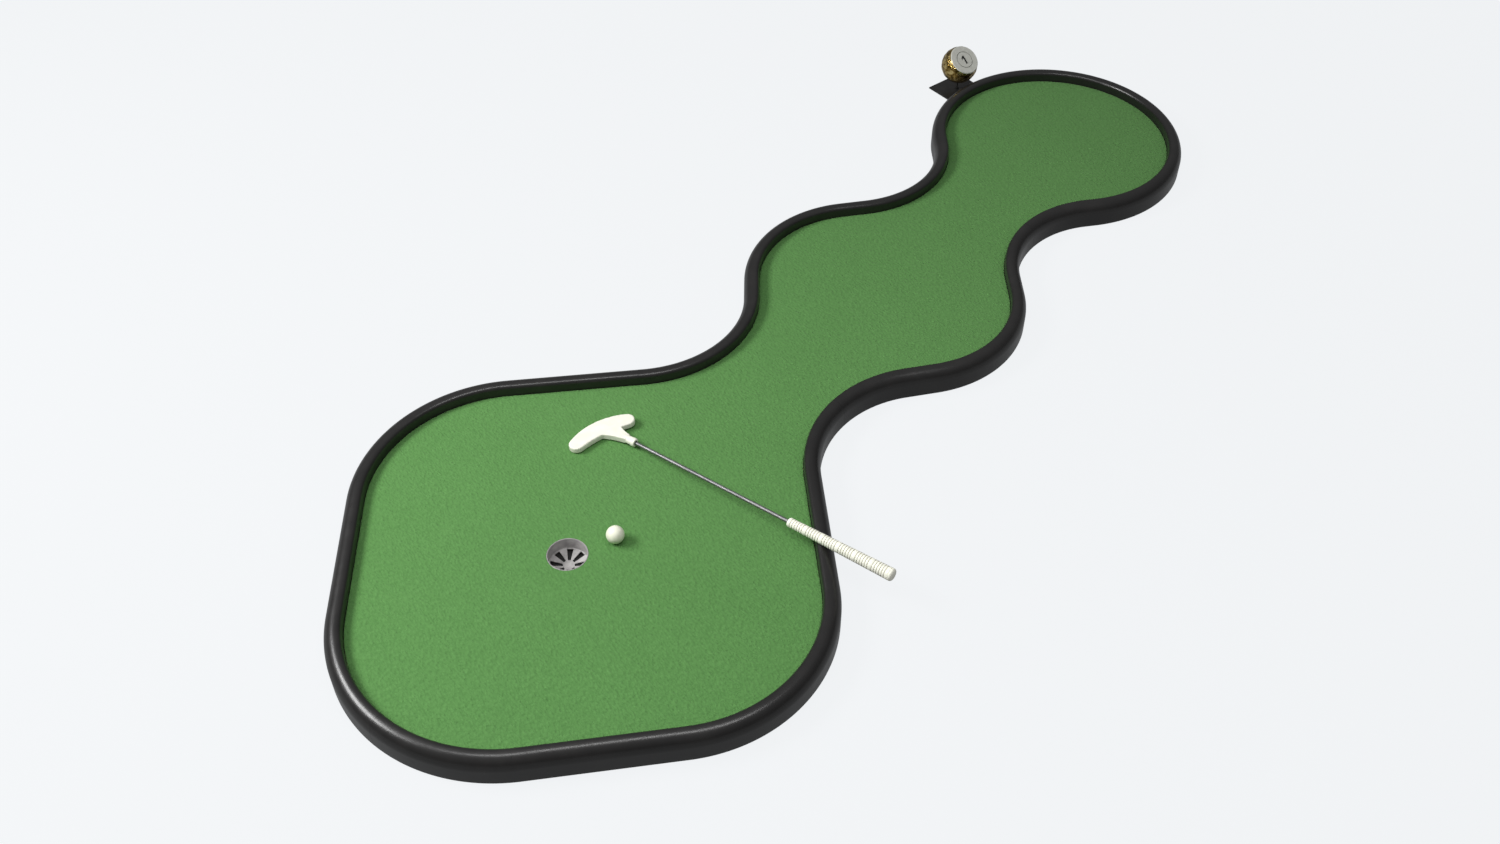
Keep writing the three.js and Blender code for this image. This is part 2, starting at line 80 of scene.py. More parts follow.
def mesh_object(name, bm, look, sharp=35, place=None):
    """An object from a bmesh in millimetres, moved by place and smooth up to the angle sharp."""
    if place is not None:
        bm.transform(place)
    bm.transform(Matrix.Scale(MM, 4))
    bmesh.ops.recalc_face_normals(bm, faces=bm.faces)
    data = bpy.data.meshes.new(name)
    bm.to_mesh(data)
    bm.free()
    for one in look if isinstance(look, list) else [look]:
        data.materials.append(one)
    data.shade_smooth()
    data.set_sharp_from_angle(angle=math.radians(sharp))
    made = bpy.data.objects.new(name, data)
    bpy.context.scene.collection.objects.link(made)
    return made


def settle(obj):
    """Turns an object's modifiers into its mesh."""
    bpy.context.view_layer.update()
    final = obj.evaluated_get(bpy.context.evaluated_depsgraph_get())
    done = bpy.data.meshes.new_from_object(final)
    obj.modifiers.clear()
    obj.data = done


def carve(obj, cutter, sharp=35):
    """Cuts a closed bmesh in millimetres out of an object."""
    tool = mesh_object("cutter", cutter, [])
    cut = obj.modifiers.new("cut", "BOOLEAN")
    cut.operation = "DIFFERENCE"
    cut.solver = "EXACT"
    cut.object = tool
    settle(obj)
    bpy.data.objects.remove(tool)
    obj.data.shade_smooth()
    obj.data.set_sharp_from_angle(angle=math.radians(sharp))
    return obj


def lathe(profile, segments, grooves=()):
    """A turned closed body about +Z from (radius, height) points.

    The profile's spans whose numbers are in grooves take the second material.
    """
    bm = bmesh.new()
    rings = []
    for r, z in profile:
        if r < TINY:
            rings.append([bm.verts.new((0, 0, z))])
            continue
        turn = [2 * math.pi * k / segments for k in range(segments)]
        rings.append([bm.verts.new((r * math.cos(a), r * math.sin(a), z)) for a in turn])
    closed = len(rings[0]) > 1
    pairs = list(zip(rings, rings[1:])) + ([(rings[-1], rings[0])] if closed else [])
    for number, (low, high) in enumerate(pairs):
        for k in range(segments):
            n = (k + 1) % segments
            below = [low[k % len(low)], low[n % len(low)]]
            above = [high[n % len(high)], high[k % len(high)]]
            corners = list(dict.fromkeys(below + above))
            if len(corners) > 2:
                face = bm.faces.new(corners)
                if number in grooves:
                    face.material_index = 1
    return bm


def pin(radius, low, high, segments):
    """A plain round body about +Z, used for boring holes."""
    return lathe([(0, low), (radius, low), (radius, high), (0, high)], segments)


def along_x(bm):
    """Lays a body turned about +Z along +X."""
    bm.transform(Matrix.Rotation(math.radians(90), 4, "Y"))
    return bm


def arc(cx, cy, rx, ry, start, end, steps):
    """Points on an ellipse from one angle to another, in degrees."""
    angles = [math.radians(start + (end - start) * k / steps) for k in range(steps + 1)]
    return [(cx + rx * math.cos(a), cy + ry * math.sin(a)) for a in angles]


def prism(outline, low, high, bm=None):
    """A closed body from low to high over a flat outline, added to bm if one is given."""
    bm = bm or bmesh.new()
    bottom = [bm.verts.new((x, y, low)) for x, y in outline]
    top = [bm.verts.new((x, y, high)) for x, y in outline]
    bm.faces.new(bottom[::-1])
    bm.faces.new(top)
    for k in range(len(outline)):
        n = (k + 1) % len(outline)
        bm.faces.new((bottom[k], bottom[n], top[n], top[k]))
    return bm


def soften(bm, width, segments):
    """Rounds the sharp edges of a closed body."""
    bmesh.ops.recalc_face_normals(bm, faces=bm.faces)
    sharp = [e for e in bm.edges if e.calc_face_angle() > SHARP_EDGE]
    bmesh.ops.bevel(
        bm, geom=sharp, offset=width, segments=segments, profile=0.5, affect="EDGES",
        clamp_overlap=True,
    )
    return bm


def belongs(obj, body, cad_node):
    """Makes a piece ride on a body in place of its CAD node, which it hides."""
    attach(obj, body)
    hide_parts(cad_node)


# ---------------------------------------------------------------- materials

MIX_FACTOR, MIX_A, MIX_B, MIX_RESULT = 0, 6, 7, 2  # a Mix node's sockets when it mixes colours


class Look:
    """A procedural material round one Principled shader, in the object's own coordinates."""

    def __init__(self, name, **sockets):
        self.material = bpy.data.materials.new(name)
        self.material.use_nodes = True
        self.tree = self.material.node_tree
        self.shader = self.tree.nodes["Principled BSDF"]
        self.coords = self.tree.nodes.new("ShaderNodeTexCoord").outputs["Object"]
        for socket, value in sockets.items():
            self.shader.inputs[socket.replace("_", " ")].default_value = value

    def node(self, kind, inputs=None, **settings):
        made = self.tree.nodes.new("ShaderNode" + kind)
        for key, value in settings.items():
            setattr(made, key, value)
        for key, value in (inputs or {}).items():
            if isinstance(value, bpy.types.NodeSocket):
                self.tree.links.new(value, made.inputs[key])
            else:
                made.inputs[key].default_value = value
        return made

    def stretched(self, *scale, turn=0.0):
        """The object's coordinates turned about Z by some degrees and scaled."""
        rotation = (0, 0, math.radians(turn))
        inputs = {"Vector": self.coords, "Rotation": rotation, "Scale": scale}
        return self.node("Mapping", inputs).outputs["Vector"]

    def noise(self, size, detail=3, roughness=0.5, vector=None, distortion=0.0):
        """Noise whose blobs are about size millimetres across."""
        inputs = {"Vector": vector or self.coords, "Scale": 1 / (size * MM), "Detail": detail}
        inputs.update({"Roughness": roughness, "Distortion": distortion})
        return self.node("TexNoise", inputs).outputs["Fac"]

    def cells(self, size):
        """Distances to the middles of cells about size millimetres across."""
        inputs = {"Vector": self.coords, "Scale": 1 / (size * MM)}
        return self.node("TexVoronoi", inputs).outputs["Distance"]

    def soft_cells(self, size, smooth, vector):
        inputs = {"Vector": vector, "Scale": 1 / (size * MM), "Smoothness": smooth}
        return self.node("TexVoronoi", inputs, feature="SMOOTH_F1").outputs["Distance"]

    def spread(self, value, low, high, to_low, to_high):
        """A value that goes from to_low to to_high as the given one goes from low to high."""
        inputs = {"Value": value, "From Min": low, "From Max": high}
        inputs.update({"To Min": to_low, "To Max": to_high})
        return self.node("MapRange", inputs).outputs["Result"]

    def rough(self, size, detail, low, high, roughness=0.5):
        """Sets a roughness that wanders between two values."""
        cloud = self.noise(size, detail, roughness)
        self.to("Roughness", self.spread(cloud, 0.3, 0.7, low, high))

    def math(self, operation, a, b=0.0):
        return self.node("Math", {0: a, 1: b}, operation=operation).outputs["Value"]

    def mix_of(self, *parts):
        """The sum of (value, share) parts."""
        total = None
        for value, share in parts:
            part = self.math("MULTIPLY", value, share)
            total = part if total is None else self.math("ADD", total, part)
        return total

    def colours(self, value, *stops):
        """A colour for a value, from (position, colour) stops."""
        ramp = self.node("ValToRGB", {"Fac": value})
        band = ramp.color_ramp
        for _ in range(len(stops) - len(band.elements)):
            band.elements.new(0.5)
        for element, (position, colour) in zip(band.elements, stops):
            element.position = position
            element.color = (*colour, 1)
        return ramp.outputs["Color"]

    def blend(self, value, base, colour):
        """The base colour, with the other one over it as far as value says."""
        made = self.node("Mix", data_type="RGBA")
        self.tree.links.new(value, made.inputs[MIX_FACTOR])
        self.tree.links.new(base, made.inputs[MIX_A])
        made.inputs[MIX_B].default_value = (*colour, 1)
        return made.outputs[MIX_RESULT]

    def to(self, socket, value):
        self.tree.links.new(value, self.shader.inputs[socket])

    def bump(self, *layers):
        """Bumps from (height, millimetres deep) layers."""
        normal = None
        for height, depth in layers:
            inputs = {"Height": height, "Distance": depth * MM, "Strength": 1.0}
            if normal is not None:
                inputs["Normal"] = normal
            normal = self.node("Bump", inputs).outputs["Normal"]
        self.to("Normal", normal)


def kerb_rubber():
    look = Look("kerb rubber", Specular_IOR_Level=0.5)
    scuff = look.noise(46, 6, 0.65)
    dust = look.noise(310, 4, 0.55)
    look.to("Base Color", look.colours(
        look.mix_of((scuff, 0.55), (dust, 0.45)),
        (0.30, (0.0100, 0.0096, 0.0094)),
        (0.52, (0.0140, 0.0133, 0.0129)),
        (0.72, (0.0205, 0.0192, 0.0184)),
    ))
    look.rough(24, 5, 0.27, 0.33, roughness=0.6)
    look.bump((look.noise(3, 3), 0.006), (look.noise(60, 2), 0.25))
    return look.material


def turf_pile():
    look = Look(
        "turf pile", Roughness=0.95, Specular_IOR_Level=0.12, Sheen_Weight=0.12,
        Sheen_Roughness=0.6, Sheen_Tint=(0.75, 1.0, 0.6, 1),
    )
    slanted = look.stretched(1, 0.62, 1, turn=38)
    worn = look.noise(620, 2, 0.5)
    patch = look.noise(120, 2, 0.5)
    tuft = look.noise(6.5, 3, 0.6, vector=slanted, distortion=0.3)
    look.to("Base Color", look.colours(
        look.mix_of((worn, 0.15), (patch, 0.10), (tuft, 0.75)),
        (0.30, (0.076, 0.198, 0.053)),
        (0.50, (0.089, 0.225, 0.062)),
        (0.70, (0.103, 0.252, 0.072)),
    ))
    clumps = look.soft_cells(5.5, 0.4, slanted)
    look.bump((tuft, 2.2), (clumps, 1.6), (look.noise(2.2, 3, 0.6), 0.7))
    return look.material


def cup_plastic():
    look = Look("cup plastic", Specular_IOR_Level=0.5)
    cloud = look.noise(14, 4, 0.6)
    dark, light = (0.29, 0.28, 0.275), (0.40, 0.385, 0.375)
    look.to("Base Color", look.colours(cloud, (0.35, dark), (0.65, light)))
    look.rough(7, 4, 0.36, 0.52)
    look.bump((look.noise(0.9, 2), 0.03), (look.noise(12, 3), 0.12))
    return look.material


def ivory(name, dark, light, roughness, grain=0.8, depth=0.03):
    look = Look(name, Specular_IOR_Level=0.5, Coat_Weight=0.15, Coat_Roughness=0.25)
    look.to("Base Color", look.colours(look.noise(26, 5, 0.6), (0.35, dark), (0.65, light)))
    look.rough(9, 4, roughness - 0.06, roughness + 0.08)
    look.bump((look.noise(grain, 2), depth), (look.noise(18, 2), 0.15))
    return look.material


def shaft_steel():
    look = Look("shaft steel", Metallic=1.0)
    cloud = look.noise(38, 3, 0.5)
    dark, light = (0.21, 0.21, 0.215), (0.27, 0.27, 0.27)
    look.to("Base Color", look.colours(cloud, (0.3, dark), (0.7, light)))
    look.rough(14, 3, 0.50, 0.60)
    return look.material


def hammered_gold():
    look = Look("hammered gold", Metallic=1.0)
    tarnish = look.noise(15, 5, 0.7)
    look.to("Base Color", look.colours(
        tarnish,
        (0.36, (0.09, 0.056, 0.011)),
        (0.48, (0.36, 0.235, 0.060)),
        (0.60, (0.86, 0.69, 0.31)),
    ))
    look.rough(6, 4, 0.10, 0.24)
    look.bump((look.noise(9, 3, 0.6), 1.6), (look.noise(3.2, 3, 0.6), 0.5))
    return look.material


def black_paint(name, base, roughness):
    look = Look(name, Specular_IOR_Level=0.5)
    lighter = tuple(1.9 * each for each in base)
    look.to("Base Color", look.colours(look.noise(19, 5, 0.65), (0.35, base), (0.68, lighter)))
    look.rough(8, 4, roughness - 0.08, roughness + 0.1)
    look.bump((look.noise(1.2, 3), 0.05))
    return look.material


def face_plastic(name, dark, light):
    look = Look(name, Specular_IOR_Level=0.45)
    look.to("Base Color", look.colours(look.noise(12, 4, 0.6), (0.35, dark), (0.65, light)))
    look.rough(5, 3, 0.36, 0.5)
    look.bump((look.noise(1.0, 2), 0.03))
    return look.material


PLY_PITCH = 4.5


def plywood():
    look = Look("plywood", Specular_IOR_Level=0.3)
    grain = look.noise(5, 5, 0.62, vector=look.stretched(0.05, 1, 1), distortion=0.7)
    broad = look.noise(90, 3, vector=look.stretched(0.15, 1, 1))
    face = look.colours(
        look.mix_of((grain, 0.6), (broad, 0.4)),
        (0.34, (0.30, 0.165, 0.070)),
        (0.5, (0.46, 0.28, 0.135)),
        (0.66, (0.58, 0.385, 0.205)),
    )
    height = look.node("SeparateXYZ", {"Vector": look.coords}).outputs["Z"]
    plies = look.math("SINE", look.math("MULTIPLY", height, 2 * math.pi / (PLY_PITCH * MM)))
    glue = look.spread(plies, -0.4, 0.4, 0.0, 0.45)
    look.to("Base Color", look.blend(glue, face, (0.20, 0.105, 0.045)))
    look.to("Roughness", look.spread(grain, 0.3, 0.7, 0.62, 0.82))
    look.bump((grain, 0.25))
    return look.material


def foot_rubber():
    look = Look("foot rubber", Specular_IOR_Level=0.35)
    dark, light = (0.014, 0.014, 0.014), (0.03, 0.029, 0.028)
    look.to("Base Color", look.colours(look.noise(7, 5, 0.65), (0.35, dark), (0.65, light)))
    look.rough(4, 4, 0.66, 0.86)
    look.bump((look.noise(1.1, 3), 0.12))
    return look.material


def zinc_steel():
    look = Look("zinc steel", Metallic=1.0)
    dark, light = (0.50, 0.50, 0.50), (0.66, 0.665, 0.67)
    look.to("Base Color", look.colours(look.cells(4.5), (0.15, dark), (0.7, light)))
    look.rough(5, 4, 0.28, 0.46)
    look.bump((look.noise(1.0, 3), 0.04))
    return look.material


KERB_LOOK, TURF_LOOK, CUP_LOOK = kerb_rubber(), turf_pile(), cup_plastic()
BLADE_LOOK = ivory("ivory plastic", (0.80, 0.79, 0.68), (0.88, 0.87, 0.76), 0.42)
BALL_LOOK = ivory(
    "ball cover", (0.78, 0.78, 0.64), (0.89, 0.89, 0.73), 0.38, grain=0.6, depth=0.02,
)
GRIP_LOOK = ivory(
    "ivory grip rubber", (0.89, 0.885, 0.76), (0.94, 0.935, 0.82), 0.55, grain=0.7, depth=0.08,
)
# The grip's grooves are coloured darker than the rest of the grip: painted shade in the grooves.
GRIP_GROOVE_SHADE_LOOK = ivory(
    "grip grooves painted shade", (0.47, 0.46, 0.35), (0.55, 0.54, 0.42), 0.7, grain=0.7, depth=0.08,
)
SHAFT_LOOK, GOLD_LOOK = shaft_steel(), hammered_gold()
FACE_LOOK = face_plastic("face plastic", (0.52, 0.52, 0.47), (0.60, 0.60, 0.55))
# The face's sunk ring is coloured darker than the face: painted shade in the groove.
FACE_RING_SHADE_LOOK = face_plastic("face ring painted shade", (0.24, 0.24, 0.21), (0.31, 0.31, 0.28))
PAINT_LOOK = black_paint("black paint", (0.008, 0.008, 0.0075), 0.42)
# This black look also goes on the cup's liner, where its black is painted shade under the slots.
DIGIT_AND_LINER_SHADE_LOOK = black_paint("black plastic and painted shade", (0.006, 0.006, 0.006), 0.5)
PLY_LOOK, FOOT_LOOK, ZINC_LOOK = plywood(), foot_rubber(), zinc_steel()


# ---------------------------------------------------------------- lane outline

def on_disc(disc, normal, offset):
    """The point offset outside a disc's arc of the outline, where the outward normal is normal."""
    x, y, radius, side = disc
    reach = side * radius + offset
    return Vector((x + reach * math.cos(normal), y + reach * math.sin(normal)))


def run_normal(a, b):
    """The outward normal on the straight run between two discs."""
    dx, dy = b[0] - a[0], b[1] - a[1]
    return math.atan2(dy, dx) + math.acos((a[3] * a[2] - b[3] * b[2]) / math.hypot(dx, dy))


def belt_runs():
    """Half the outline, from the hole end to the tee end, as arcs and straight runs in turn.

    An arc is ("arc", length, disc, first normal, last normal), and a straight run is ("straight",
    length, start, end, normal).
    """
    turns = [run_normal(a, b) for a, b in zip(LANE_DISCS, LANE_DISCS[1:])]
    normals = [math.pi, *turns, 0.0]
    runs = []
    for k, disc in enumerate(LANE_DISCS):
        first, last = normals[k], normals[k + 1]
        runs.append(("arc", abs(last - first) * disc[2], disc, first, last))
        if k + 1 < len(LANE_DISCS):
            start, end = on_disc(disc, last, 0), on_disc(LANE_DISCS[k + 1], last, 0)
            runs.append(("straight", (end - start).length, start, end, last))
    return runs


BELT = belt_runs()
BELT_LENGTH = sum(run[1] for run in BELT)


def edge_at(s, offset):
    """The point offset outside the kerb's centre line, s along it, and the outward normal there."""
    left = min(max(s, 0.0), BELT_LENGTH)
    for run in BELT:
        if left <= run[1] or run is BELT[-1]:
            break
        left -= run[1]
    t = min(left / run[1], 1.0)
    if run[0] == "arc":
        normal = run[3] + (run[4] - run[3]) * t
        return on_disc(run[2], normal, offset), normal
    normal = run[4]
    shift = Vector((math.cos(normal), math.sin(normal))) * offset
    return run[2].lerp(run[3], t) + shift, normal


def neck_at(index):
    """How far along the centre line a disc's arc has its normal along Y."""
    s = 0.0
    for run in BELT:
        if run[0] == "arc" and run[2] is LANE_DISCS[index]:
            return s + abs(math.pi / 2 - run[3]) * run[2][2]
        s += run[1]


SEAMS = [0.0, *(neck_at(k) for k in SEAM_DISCS), BELT_LENGTH]


# ---------------------------------------------------------------- kerb

DOWEL_Z, DOWEL_HOLE_R, DOWEL_HOLE_DEEP = 48, 5.3, 30.3
GROOVE_DEEP, GROOVE_LOW, GROOVE_HIGH = 12.5, 16.4, 35.0  # the groove that takes the deck's edge
DOWEL_SIDES = 16
KERB_STEP = 9


def kerb_section():
    """The kerb's section as (outwards, up) points, anticlockwise seen along the kerb."""
    half, ease = KERB_HALF, 1.2
    outer_wide, outer_high, inner_r = 28, 32, 12
    points = [(half - ease, 0), (half, ease)]
    points += arc(half - outer_wide, KERB_TOP - outer_high, outer_wide, outer_high, 0, 90, 18)
    points += arc(inner_r - half, KERB_TOP - inner_r, inner_r, inner_r, 90, 180, 10)
    points += [(-half, GROOVE_HIGH), (GROOVE_DEEP - half, GROOVE_HIGH)]
    points += [(GROOVE_DEEP - half, GROOVE_LOW), (-half, GROOVE_LOW)]
    return points + [(-half, ease), (ease - half, 0)]


def kerb_rail(index, mirror):
    """One length of kerb along a panel, with a dowel hole in each end."""
    section = kerb_section()
    first, last = SEAMS[index] + GAP / 2, SEAMS[index + 1] - GAP / 2
    steps = round((last - first) / KERB_STEP)
    bm = bmesh.new()
    rings = []
    for k in range(steps + 1):
        s = first + (last - first) * k / steps
        ring = [(edge_at(s, outwards)[0], z) for outwards, z in section]
        rings.append([bm.verts.new((p.x, p.y * mirror, z)) for p, z in ring])
    count = len(section)
    for low, high in zip(rings, rings[1:]):
        for k in range(count):
            n = (k + 1) % count
            bm.faces.new((low[k], low[n], high[n], high[k]))
    hole = arc(0, DOWEL_Z, DOWEL_HOLE_R, DOWEL_HOLE_R, 0, 360, DOWEL_SIDES)[:-1]
    for ring, s, inward in ((rings[0], first, 1), (rings[-1], last, -1)):
        centre, normal = edge_at(s, 0)
        out = Vector((math.cos(normal), math.sin(normal)))
        along = Vector((math.sin(normal), -math.cos(normal))) * inward * (DOWEL_HOLE_DEEP - GAP / 2)
        mouth, end = [], []
        for x, z in hole:
            at = centre + out * x
            mouth.append(bm.verts.new((at.x, at.y * mirror, z)))
            end.append(bm.verts.new((at.x + along.x, (at.y + along.y) * mirror, z)))
        every = ring + mouth
        loops = [[Vector((x, z, 0)) for x, z in section], [Vector((x, z, 0)) for x, z in hole]]
        for a, b, c in tessellate_polygon(loops):
            bm.faces.new((every[a], every[b], every[c]))
        for k in range(len(hole)):
            n = (k + 1) % len(hole)
            bm.faces.new((mouth[k], mouth[n], end[n], end[k]))
        bm.faces.new(end)
    return bm


for number, panel in enumerate(PANELS):
    for side, mirror in (("left", 1), ("right", -1)):
        rail_bm = kerb_rail(number, mirror)
        rail = mesh_object(f"kerb_rail_{panel}_{side}", rail_bm, KERB_LOOK, sharp=42)
        belongs(rail, "lane", f"kerb_{panel}_{side}")


# ---------------------------------------------------------------- turf

TURF_STEP, TURF_ACROSS = 11, 44
TURF_EDGE = [  # inset from the sheet's edge, height
    (0, TURF_UNDER), (0, TURF_TOP - 1.6), (0.5, TURF_TOP - 0.5), (1.6, TURF_TOP),
    (8, TURF_TOP), (20, TURF_TOP), (36, TURF_TOP),
]
SHEET_GAP = 0.5
TURF_HOLE_R = CUP_OUTER_R + SHEET_GAP
UNEVEN, UNEVEN_OVER, UNEVEN_SEED = 0.35, 150, 7.3


def turf_mesh():
    """The lane's turf as a closed sheet with eased edges and a gently uneven face.

    Returns it with the sheet's area less the cup's hole, its length and its width.
    """
    bm = bmesh.new()
    steps = round(BELT_LENGTH / TURF_STEP)
    rows, outline = [], []
    for k in range(steps + 1):
        s = BELT_LENGTH * k / steps
        edge = [(edge_at(s, -KERB_HALF - SHEET_GAP - inset)[0], z) for inset, z in TURF_EDGE]
        outline.append(edge[0][0])
        inner = edge[-1][0]
        points = [(p.x, -p.y, z) for p, z in edge]
        across = [2 * m / TURF_ACROSS - 1 for m in range(1, TURF_ACROSS)]
        points += [(inner.x, inner.y * share, TURF_TOP) for share in across]
        points += [(p.x, p.y, z) for p, z in reversed(edge)]
        row = []
        for x, y, z in points:
            where = Vector((x / UNEVEN_OVER, y / UNEVEN_OVER, UNEVEN_SEED))
            lift = 0.0 if z < TURF_TOP else UNEVEN * noise.noise(where)
            row.append(bm.verts.new((x, y, z + lift)))
        rows.append(row)
    for low, high in zip(rows, rows[1:]):
        for k in range(len(low) - 1):
            bm.faces.new((low[k], low[k + 1], high[k + 1], high[k]))
        bm.faces.new((low[-1], low[0], high[0], high[-1]))
    bmesh.ops.remove_doubles(bm, verts=bm.verts, dist=0.02)
    area = 2 * sum((a.y + b.y) / 2 * (b.x - a.x) for a, b in zip(outline, outline[1:]))
    length = outline[-1].x - outline[0].x
    width = 2 * max(p.y for p in outline)
    return bm, area - math.pi * TURF_HOLE_R**2, length, width


turf_bm, turf_area, turf_length, turf_width = turf_mesh()
turf = mesh_object("turf_sheet", turf_bm, TURF_LOOK, sharp=60)
hole_tool = pin(TURF_HOLE_R, TURF_UNDER - 5, TURF_TOP + 5, 96)
hole_tool.transform(Matrix.Translation((CUP_X, CUP_Y, 0)))
carve(turf, hole_tool, sharp=60)
belongs(turf, "lane", "turf")


# ---------------------------------------------------------------- cup

SLOTS, FIRST_SLOT = 8, 39
SLOT_IN, SLOT_OUT, SLOT_IN_WIDE, SLOT_OUT_WIDE, SLOT_TOP = 13.5, 43, 6.5, 15.5, 10.5
FLANGE_LOW, FLANGE_HIGH, FLANGE_R = 13.4, 16.4, 63
SCREW_CIRCLE_R, SCREW_HOLE_R, SCREW_SIDES = 56, 2.6, 24


def cup_tool():
    """The slots through the cup's floor and the screw holes in its flange, as one cutter."""
    bm = bmesh.new()
    half_in, half_out = SLOT_IN_WIDE / 2, SLOT_OUT_WIDE / 2
    slot = [(SLOT_IN, -half_in), (SLOT_OUT, -half_out), (SLOT_OUT, half_out), (SLOT_IN, half_in)]
    for k in range(SLOTS):
        turn = math.radians(FIRST_SLOT + 360 / SLOTS * k)
        c, s = math.cos(turn), math.sin(turn)
        prism([(x * c - y * s, x * s + y * c) for x, y in slot], -1, SLOT_TOP, bm)
    reach = SCREW_CIRCLE_R * math.sqrt(0.5)
    for x, y in ((-reach, -reach), (reach, -reach), (reach, reach), (-reach, reach)):
        hole = arc(x, y, SCREW_HOLE_R, SCREW_HOLE_R, 0, 360, SCREW_SIDES)[:-1]
        prism(hole, FLANGE_LOW - 1.4, FLANGE_HIGH + 1.6, bm)
    return bm


cup_under = [(0, 1.2), (12.5, 1.2), (CUP_OUTER_R, 7.5), (CUP_OUTER_R, FLANGE_LOW)]
cup_flange = [
    (FLANGE_R - 0.6, FLANGE_LOW), (FLANGE_R, FLANGE_LOW + 0.6), (FLANGE_R, FLANGE_HIGH - 0.6),
    (FLANGE_R - 0.6, FLANGE_HIGH), (CUP_OUTER_R, FLANGE_HIGH),
]
cup_rim = [
    (CUP_OUTER_R, 40.7), (CUP_OUTER_R - 0.2, 41.2), (CUP_OUTER_R - 0.6, 41.4),
    (CUP_R + 0.6, 41.4), (CUP_R + 0.2, 41.2), (CUP_R, 40.7),
]
cup_floor = [
    (CUP_R, 10.8), (45.2, 9.9), (44.4, 9.3), (13.7, 3.75), (12.5, 3.5), (11, 3.4), (0, 3.4),
]
cup_profile = cup_under + cup_flange + cup_rim + cup_floor
cup = mesh_object("hole_cup", lathe(cup_profile, 128), CUP_LOOK)
carve(cup, cup_tool(), sharp=30)
cup.data.transform(Matrix.Translation((CUP_X * MM, CUP_Y * MM, 0)))
belongs(cup, "lane", "cup")


# ---------------------------------------------------------------- ball

BALL_AT = (-850.5, -40)
DIMPLES, DIMPLE_SPREAD, DIMPLE_DEEP = 336, 0.088, 0.26


def around_sphere(count, wobble=0.0, seed=1):
    """Directions spread evenly over a sphere, each moved at random by up to wobble."""
    rng = random.Random(seed)
    made = []
    for k in range(count):
        z = 1 - (2 * k + 1) / count
        a = k * math.pi * (3 - math.sqrt(5))
        r = math.sqrt(1 - z * z)
        shift = Vector([rng.uniform(-wobble, wobble) for _ in range(3)])
        made.append((Vector((r * math.cos(a), r * math.sin(a), z)) + shift).normalized())
    return made


def dented_sphere(radius, centres, spread, deep):
    """A sphere with a round dent at each centre, spread wide as a share of the radius."""
    bm = bmesh.new()
    bmesh.ops.create_icosphere(bm, subdivisions=6, radius=1)
    for v in bm.verts:
        d = v.co.normalized()
        drop = 0.0
        for c in centres:
            if abs(c.z - d.z) < spread:
                away = (c - d).length / spread
                if away < 1:
                    drop = max(drop, deep * (1 - away * away))
        v.co = d * (radius - drop)
    return bm


ball = mesh_object(
    "golf_ball_cover",
    dented_sphere(BALL_R, around_sphere(DIMPLES), DIMPLE_SPREAD, DIMPLE_DEEP),
    BALL_LOOK, sharp=80, place=Matrix.Translation((*BALL_AT, TURF_TOP + GAP + BALL_R)),
)
belongs(ball, "golf_ball", "ball")


# ---------------------------------------------------------------- putter

# Along the shaft from the head's middle: the grip, the kerb's crown under it, and the other ends.
GRIP_FROM, GRIP_TO, GRIP_FROM_R, GRIP_TO_R = 539, 812, 11, 15.2
CROWN_AT, SHAFT_FROM, SHAFT_TO, CAP_FROM, CAP_TO = 642, 36, 800, 802, 821
HEAD_THICK, HEAD_EASE = 17, 3.6
HEAD_AT, HEAD_Z, PUTTER_TURN = (-605.6, 205.3), TURF_TOP + GAP + HEAD_THICK / 2 + 2.4, -87.7
BLADE_HALF, BLADE_END_R, BLADE_TURN, BLADE_SHIFT = 71, 19.5, 71.5, 21.3


def grip_radius(x):
    return GRIP_FROM_R + (GRIP_TO_R - GRIP_FROM_R) * (x - GRIP_FROM) / (GRIP_TO - GRIP_FROM)


climb = math.asin((KERB_TOP + 2 * GAP + grip_radius(CROWN_AT) - HEAD_Z) / CROWN_AT)
PUTTER_PLACE = (
    Matrix.Translation((*HEAD_AT, HEAD_Z))
    @ Matrix.Rotation(math.radians(PUTTER_TURN), 4, "Z")
    @ Matrix.Rotation(-climb, 4, "Y")
)


def blade_outline():
    """Heel to toe along x and sole towards +y: two round ends and two bowed sides."""
    half, end, sole, top = BLADE_HALF, BLADE_END_R, 19, 8
    sole_y = (sole**2 - half**2) / (2 * sole)
    top_y = (top**2 - half**2) / (2 * top)
    sole_r, top_r = sole - sole_y + end, top - top_y - end
    sole_edge = math.degrees(math.atan2(-sole_y, half))
    top_edge = math.degrees(math.atan2(-top_y, half))
    points = arc(0, sole_y, sole_r, sole_r, sole_edge, 180 - sole_edge, 40)
    points += arc(-half, 0, end, end, 180 - sole_edge, 360 - top_edge, 26)[1:]
    points += arc(0, top_y, top_r, top_r, 180 - top_edge, top_edge, 40)[1:]
    points += arc(half, 0, end, end, 180 + top_edge, 360 + sole_edge, 26)[1:-1]
    return points


def bent(a, b, c, steps):
    """A quadratic curve from a to c that leans towards b."""
    points = []
    for k in range(steps + 1):
        t = k / steps
        shares = ((1 - t) ** 2, 2 * t * (1 - t), t * t)
        points.append(tuple(sum(w * v for w, v in zip(shares, axis)) for axis in zip(a, b, c)))
    return points


